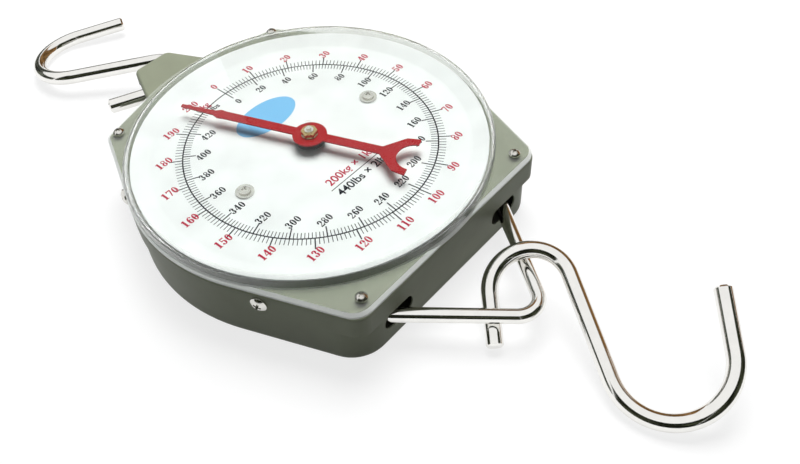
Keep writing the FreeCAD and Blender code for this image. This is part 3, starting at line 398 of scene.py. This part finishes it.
# The numbers have heavy upright strokes and hairline joins, as on a printed clock dial.
def digit(film, value, corner, height):
    """One printed digit, drawn from its lower left corner."""
    heavy = 0.215
    hair = 0.09
    layer_step = 0.000002
    layer = 0

    def at(x, y):
        nonlocal layer
        layer += 1
        return corner + Vector((x * height, y * height, layer * layer_step))

    def bar(x0, y0, x1, y1, width):
        lift = at(0, 0).z
        start = corner + Vector((x0 * height, y0 * height, 0))
        end = corner + Vector((x1 * height, y1 * height, 0))
        start.z = end.z = lift
        stroke(film, start, end, width * height)

    def bowl(x, y, wide, high, start=0, end=360, weight=heavy):
        outer = (wide * height, high * height)
        inner = ((wide - weight) * height, (high - hair) * height)
        band_of_ink(film, at(x, y), outer, inner, start, end)

    def ball(x, y, size):
        band_of_ink(film, at(x, y), (size * height,) * 2, (size * height * 0.02,) * 2, 0, 360)

    if value == 0:
        bowl(0.30, 0.50, 0.29, 0.50)
    elif value == 1:
        bar(0.31, 0.0, 0.31, 1.0, heavy + 0.02)
        bar(0.10, 0.03, 0.52, 0.03, hair)
        bar(0.09, 0.84, 0.30, 0.95, hair)
    elif value == 2:
        bowl(0.30, 0.70, 0.27, 0.30, -35, 175)
        ball(0.12, 0.70, 0.10)
        bar(0.47, 0.52, 0.07, 0.10, 0.08)
        bar(0.04, 0.075, 0.57, 0.075, 0.15)
        bar(0.55, 0.05, 0.55, 0.27, hair)
    elif value == 3:
        bowl(0.28, 0.76, 0.25, 0.24, -90, 165)
        bowl(0.28, 0.28, 0.28, 0.28, -165, 90)
        ball(0.12, 0.78, 0.09)
        ball(0.11, 0.22, 0.10)
    elif value == 4:
        bar(0.41, 0.0, 0.41, 1.0, heavy)
        bar(0.02, 0.28, 0.60, 0.28, hair)
        bar(0.03, 0.28, 0.38, 0.97, hair)
        bar(0.26, 0.03, 0.57, 0.03, hair)
    elif value == 5:
        bar(0.11, 0.92, 0.53, 0.92, 0.15)
        bar(0.13, 0.50, 0.13, 0.98, hair)
        bowl(0.27, 0.32, 0.30, 0.32, -160, 140)
        ball(0.11, 0.20, 0.10)
    elif value == 6:
        bowl(0.32, 0.31, 0.28, 0.31)
        bowl(0.38, 0.50, 0.35, 0.50, 75, 225)
        ball(0.49, 0.84, 0.09)
    elif value == 7:
        bar(0.05, 0.92, 0.57, 0.92, 0.16)
        bar(0.07, 0.74, 0.07, 0.98, hair)
        bar(0.53, 0.88, 0.25, 0.0, 0.13)
    elif value == 8:
        bowl(0.30, 0.75, 0.24, 0.25, weight=0.13)
        bowl(0.30, 0.28, 0.29, 0.28)
    elif value == 9:
        bowl(0.28, 0.69, 0.28, 0.31)
        bowl(0.22, 0.50, 0.35, 0.50, -105, 45)
        ball(0.11, 0.16, 0.09)


def number(film, value, centre, height):
    """A printed number, set upright about its centre."""
    advance = 0.66 * height
    digits = [int(c) for c in str(value)]
    left = centre - Vector((advance * len(digits) / 2 - 0.03 * height, height / 2, 0))
    for i, d in enumerate(digits):
        digit(film, d, left + Vector((advance * i, 0, 0)), height)


kilogram_numbers = bmesh.new()
kilogram_number_reach = 0.0801
kilogram_number_height = 0.0050
for kilograms in range(0, 201, 10):
    place = dial_point(kilogram_number_reach, kilograms * degrees_per_kilogram)
    number(kilogram_numbers, kilograms, place, kilogram_number_height)
printed("kilogram_numbers", kilogram_numbers, crimson_ink)

pound_numbers = bmesh.new()
pound_number_reach = 0.0588
pound_number_height = 0.0046
for pounds in range(0, 440, 20):
    place = dial_point(pound_number_reach, pounds * kilograms_per_pound * degrees_per_kilogram)
    number(pound_numbers, pounds, place, pound_number_height)
printed("pound_numbers", pound_numbers, black_ink)


# The units, the capacity lines and a plain blue oval under twelve o'clock.
def lettering(name, words, centre, height, material):
    """A few printed words."""
    curve = bpy.data.curves.new(name, "FONT")
    curve.body = words
    curve.size = height / 0.70
    curve.align_x = "CENTER"
    curve.align_y = "CENTER"
    curve.offset = 0.00012
    curve.materials.append(material)
    piece = bpy.data.objects.new(name, curve)
    bpy.context.scene.collection.objects.link(piece)
    piece.location = Vector((centre[0], centre[1], print_height))
    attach(piece, "case")


lettering("unit_kilograms", "kg", (-0.015, 0.071), 0.0042, crimson_ink)
lettering("unit_pounds", "lbs", (-0.012, 0.0655), 0.0036, black_ink)
lettering("capacity_kilograms", "200kg × 1kg", (0.0, -0.0295), 0.0050, crimson_ink)
lettering("capacity_pounds", "440lbs × 2lbs", (0.0, -0.0390), 0.0050, black_ink)
rule = bmesh.new()
rule_half_length = 0.020
rule_y = -0.0343
rule_start = face_centre + Vector((-rule_half_length, rule_y, 0))
rule_end = face_centre + Vector((rule_half_length, rule_y, 0))
stroke(rule, rule_start, rule_end, 0.0005)
printed("capacity_rule", rule, black_ink)
oval = bmesh.new()
oval_centre = face_centre + Vector((0.0005, 0.036, 0))
oval_half_width = 0.0205
oval_half_height = 0.0115
oval_steps = 96
oval_rim = []
for i in range(oval_steps):
    angle = 2 * math.pi * i / oval_steps
    step = Vector((oval_half_width * math.cos(angle), oval_half_height * math.sin(angle), 0))
    oval_rim.append(oval.verts.new(oval_centre + step))
oval.faces.new(oval_rim)
printed("blue_oval", oval, blue_ink)


# ----------------------------------------------------------------------------------------------------------
# Pointer. Stamped from sheet, sprayed gloss red, and clamped on a black boss by a brass nut.
pointer_red = enamel("pointer_red", (0.38, 0.003, 0.008), 0.30, 0.05, gloss=0.15)
finish(pointer_red, "pointer")
boss_black = enamel("boss_black", (0.012, 0.010, 0.010), 0.45, 0.10, gloss=0.2)
finish(boss_black, "pointer_boss")


# ----------------------------------------------------------------------------------------------------------
# Cover. Moulded in clear plastic with a polished face. A white diffuse layer is mixed over it as painted
# reflection: a little on its flange and sloping wall, and nearly whole on the bevel of its flange, which
# shows as a white line.
clear_plastic = new_material("clear_plastic")
tree = clear_plastic.node_tree
plastic = tree.nodes["Principled BSDF"]
plastic.inputs["Base Color"].default_value = (0.955, 0.975, 0.955, 1)
plastic.inputs["Roughness"].default_value = 0.015
plastic.inputs["IOR"].default_value = 1.49
plastic.inputs["Transmission Weight"].default_value = 1.0
plastic.inputs["Specular Tint"].default_value = (0.12, 0.12, 0.12, 1)
tree.links.new(bumped(tree, speckle(tree, 60.0), 0.04, 0.0003), plastic.inputs["Normal"])

# Painted reflection: a white diffuse layer that stands in for the white surroundings seen in the plastic's
# wall, flange and bevel.
reflection_veil_plastic = tree.nodes.new("ShaderNodeBsdfPrincipled")
reflection_veil_plastic.inputs["Base Color"].default_value = (0.94, 0.96, 0.93, 1)
reflection_veil_plastic.inputs["Roughness"].default_value = 0.22
cover_place = tree.nodes.new("ShaderNodeTexCoord")
cover_height = tree.nodes.new("ShaderNodeSeparateXYZ")
tree.links.new(cover_place.outputs["Object"], cover_height.inputs[0])
cover_form = tree.nodes.new("ShaderNodeNewGeometry")
cover_facing = tree.nodes.new("ShaderNodeSeparateXYZ")
tree.links.new(cover_form.outputs["Normal"], cover_facing.inputs[0])
flange_top = 0.0416
steepest_flat = 0.93
flange_share = 0.10
wall_share = 0.17
bevel_extra = 0.68
on_flange = maths(tree, "LESS_THAN", cover_height.outputs["Z"], flange_top)
facing_up = maths(tree, "ABSOLUTE", cover_facing.outputs["Z"])
sloping = maths(tree, "LESS_THAN", facing_up, steepest_flat)
slope_share = maths(tree, "MULTIPLY_ADD", on_flange, bevel_extra, wall_share)
reflection_veil_slopes = maths(tree, "MULTIPLY", sloping, slope_share)
reflection_veil_share = maths(tree, "MULTIPLY_ADD", on_flange, flange_share, reflection_veil_slopes)
solid_cover = mixed(tree, reflection_veil_share, plastic.outputs[0], reflection_veil_plastic.outputs[0])

clear_air = tree.nodes.new("ShaderNodeBsdfTransparent")
clear_air.inputs["Color"].default_value = (0.97, 0.98, 0.97, 1)
cover_path = tree.nodes.new("ShaderNodeLightPath")
light_rays = (cover_path.outputs["Is Shadow Ray"], cover_path.outputs["Is Diffuse Ray"])
lets_light_in = maths(tree, "MAXIMUM", *light_rays)
whole_cover = mixed(tree, lets_light_in, solid_cover, clear_air.outputs[0])
tree.links.new(whole_cover, tree.nodes["Material Output"].inputs["Surface"])
finish(clear_plastic, "dial_cover")


bpy.context.scene.view_settings.view_transform = "Standard"
